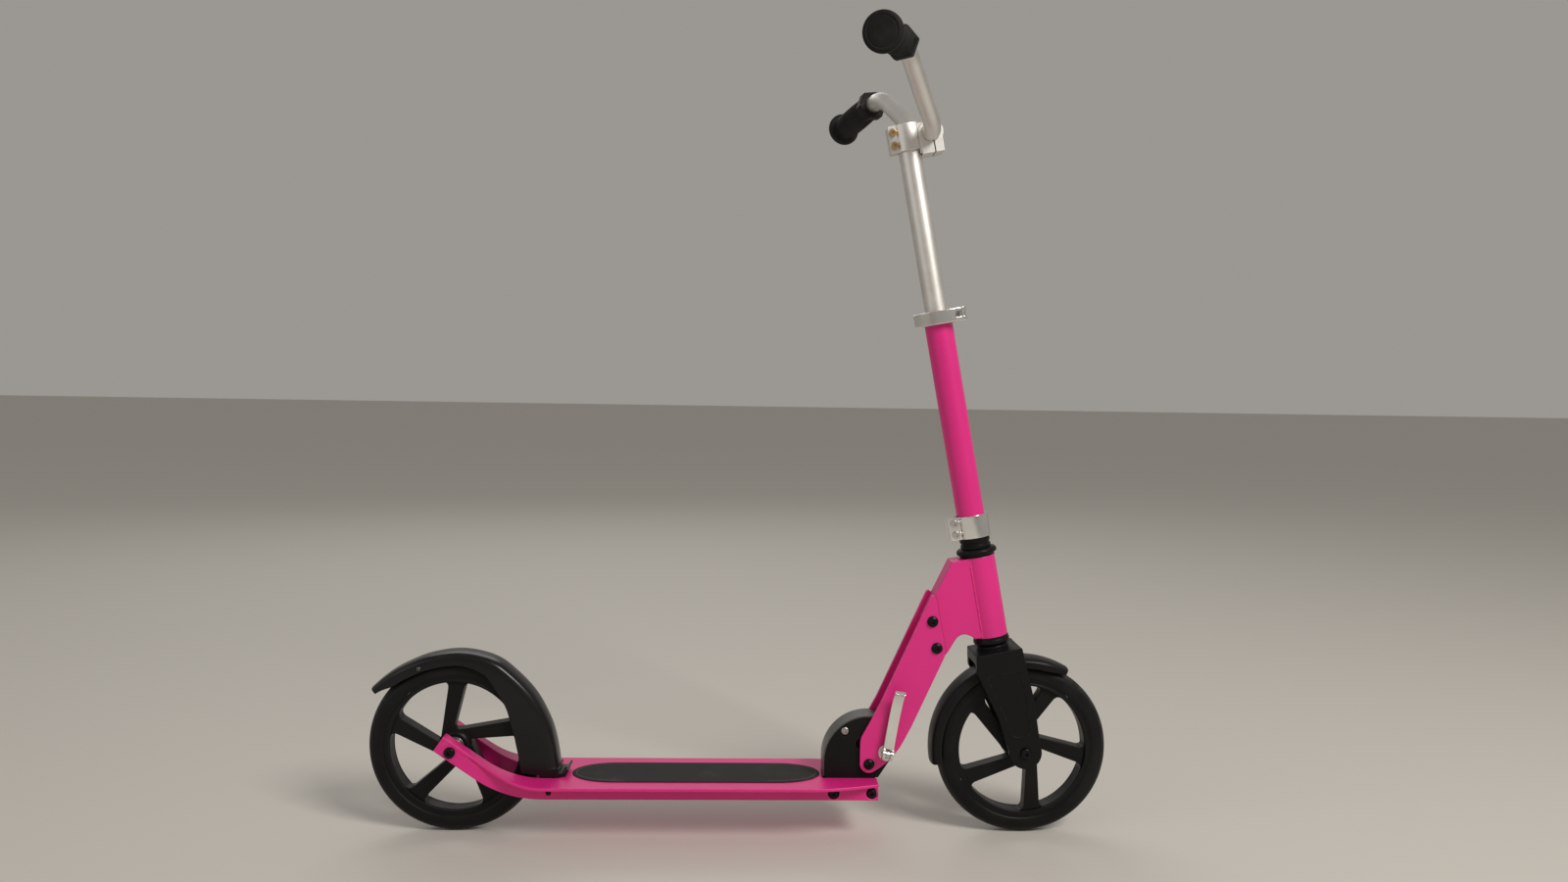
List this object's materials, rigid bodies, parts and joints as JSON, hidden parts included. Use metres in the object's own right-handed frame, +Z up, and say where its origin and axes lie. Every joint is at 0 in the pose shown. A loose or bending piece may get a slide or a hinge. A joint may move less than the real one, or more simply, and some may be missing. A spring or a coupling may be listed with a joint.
{
  "type": "kick scooter",
  "caption": "Folding kick scooter with a foot deck, large wheels, a press-down rear fender brake, a folding neck and a handlebar on a clamped height-adjustable column.",
  "frame": {"origin": "on the floor plane under the middle of the wheelbase, on the centre plane", "axes": "+X the way the scooter rolls forward, +Y to the rider's left, +Z up; Z = 0 is where both wheels touch the floor"},
  "size_m": [0.859, 0.4656, 0.8942],
  "materials": {
    "pink_paint": "satin gloss powder coat",
    "black_paint": "satin powder coat",
    "black_plastic": "satin moulded plastic",
    "black_tyre": "smooth cast polyurethane",
    "grip_rubber": "soft matte rubber",
    "grip_tape": "coarse abrasive sheet",
    "aluminium": "satin anodised",
    "steel": "plain",
    "black_steel": "black oxide"
  },
  "bodies": {
    "deck": {"deck_frame": "pink_paint", "grip_tape": "grip_tape", "brake_pin": "black_steel", "fold_block": "black_plastic", "block_strap": "steel", "block_screw": "aluminium", "block_bolt_rear": "black_steel", "block_bolt_front": "black_steel", "rear_axle": "black_steel", "rear_axle_nut": "black_steel", "rear_spacer_left": "aluminium", "rear_spacer_right": "aluminium"},
    "rear_wheel": {"rear_tyre": "black_tyre", "rear_core": "black_plastic", "rear_bearing_left": "steel", "rear_bearing_right": "steel"},
    "rear_brake": {"rear_fender": "black_plastic", "brake_pad": "steel", "brake_rivet_left": "steel", "brake_rivet_right": "steel"},
    "neck": {"neck_plate_left": "pink_paint", "neck_plate_right": "pink_paint", "head_tube": "pink_paint", "neck_bolt_upper": "black_steel", "neck_bolt_lower": "black_steel", "pivot_bolt": "black_steel", "headset_cup_upper": "black_paint", "headset_cup_lower": "black_paint", "skewer": "steel", "skewer_nut": "black_steel", "lever_washer": "aluminium"},
    "fold_lever": {"fold_lever": "aluminium"},
    "steering": {"fork": "black_paint", "front_fender": "black_plastic", "headset_collar": "black_paint", "steerer_clamp": "aluminium", "clamp_screw_upper": "steel", "clamp_screw_lower": "steel", "outer_tube": "pink_paint", "height_collar": "aluminium", "clamp_eyebolt": "steel", "front_axle": "black_steel", "front_axle_nut": "black_steel", "front_spacer_left": "aluminium", "front_spacer_right": "aluminium"},
    "front_wheel": {"front_tyre": "black_tyre", "front_core": "black_plastic", "front_bearing_left": "steel", "front_bearing_right": "steel"},
    "clamp_lever": {"clamp_lever": "aluminium"},
    "stem": {"inner_tube": "aluminium", "stem_clamp": "aluminium", "stem_screw_upper": "steel", "stem_screw_lower": "steel", "pinch_bolt": "steel", "handlebar": "aluminium", "grip_left": "grip_rubber", "grip_right": "grip_rubber"}
  },
  "joints": [
    {"name": "rear_wheel_spin", "type": "hinge", "parent": "deck", "child": "rear_wheel", "pos_m": [-0.3295, 0, 0.1], "axis": [0, 1, 0], "continuous": true},
    {"name": "rear_brake_press", "type": "hinge", "parent": "deck", "child": "rear_brake", "pos_m": [-0.2182, 0, 0.0542], "axis": [0, -1, 0], "range_deg": [0, 1.3], "stiffness_Nm_per_rad": 8, "springref_deg": -17.19},
    {"name": "neck_fold", "type": "hinge", "parent": "deck", "child": "neck", "pos_m": [0.1485, 0, 0.084], "axis": [0, -1, 0], "range_deg": [0, 77]},
    {"name": "fold_lever_turn", "type": "hinge", "parent": "neck", "child": "fold_lever", "pos_m": [0.1685, -0.031, 0.098], "axis": [0.9848, 0, -0.1736], "range_deg": [0, 110]},
    {"name": "steering_turn", "type": "hinge", "parent": "neck", "child": "steering", "pos_m": [0.31703, 0, 0.09762], "axis": [-0.1874, 0, 0.9823], "continuous": true},
    {"name": "front_wheel_spin", "type": "hinge", "parent": "steering", "child": "front_wheel", "pos_m": [0.3295, 0, 0.1], "axis": [0, 1, 0], "continuous": true},
    {"name": "height_lever_turn", "type": "hinge", "parent": "steering", "child": "clamp_lever", "pos_m": [0.24644, -0.0153, 0.60641], "axis": [-0.1874, 0, 0.9823], "range_deg": [0, 130]},
    {"name": "stem_height", "type": "slide", "parent": "steering", "child": "stem", "axis": [-0.1874, 0, 0.9823], "range_m": [-0.168, 0]}
  ]
}
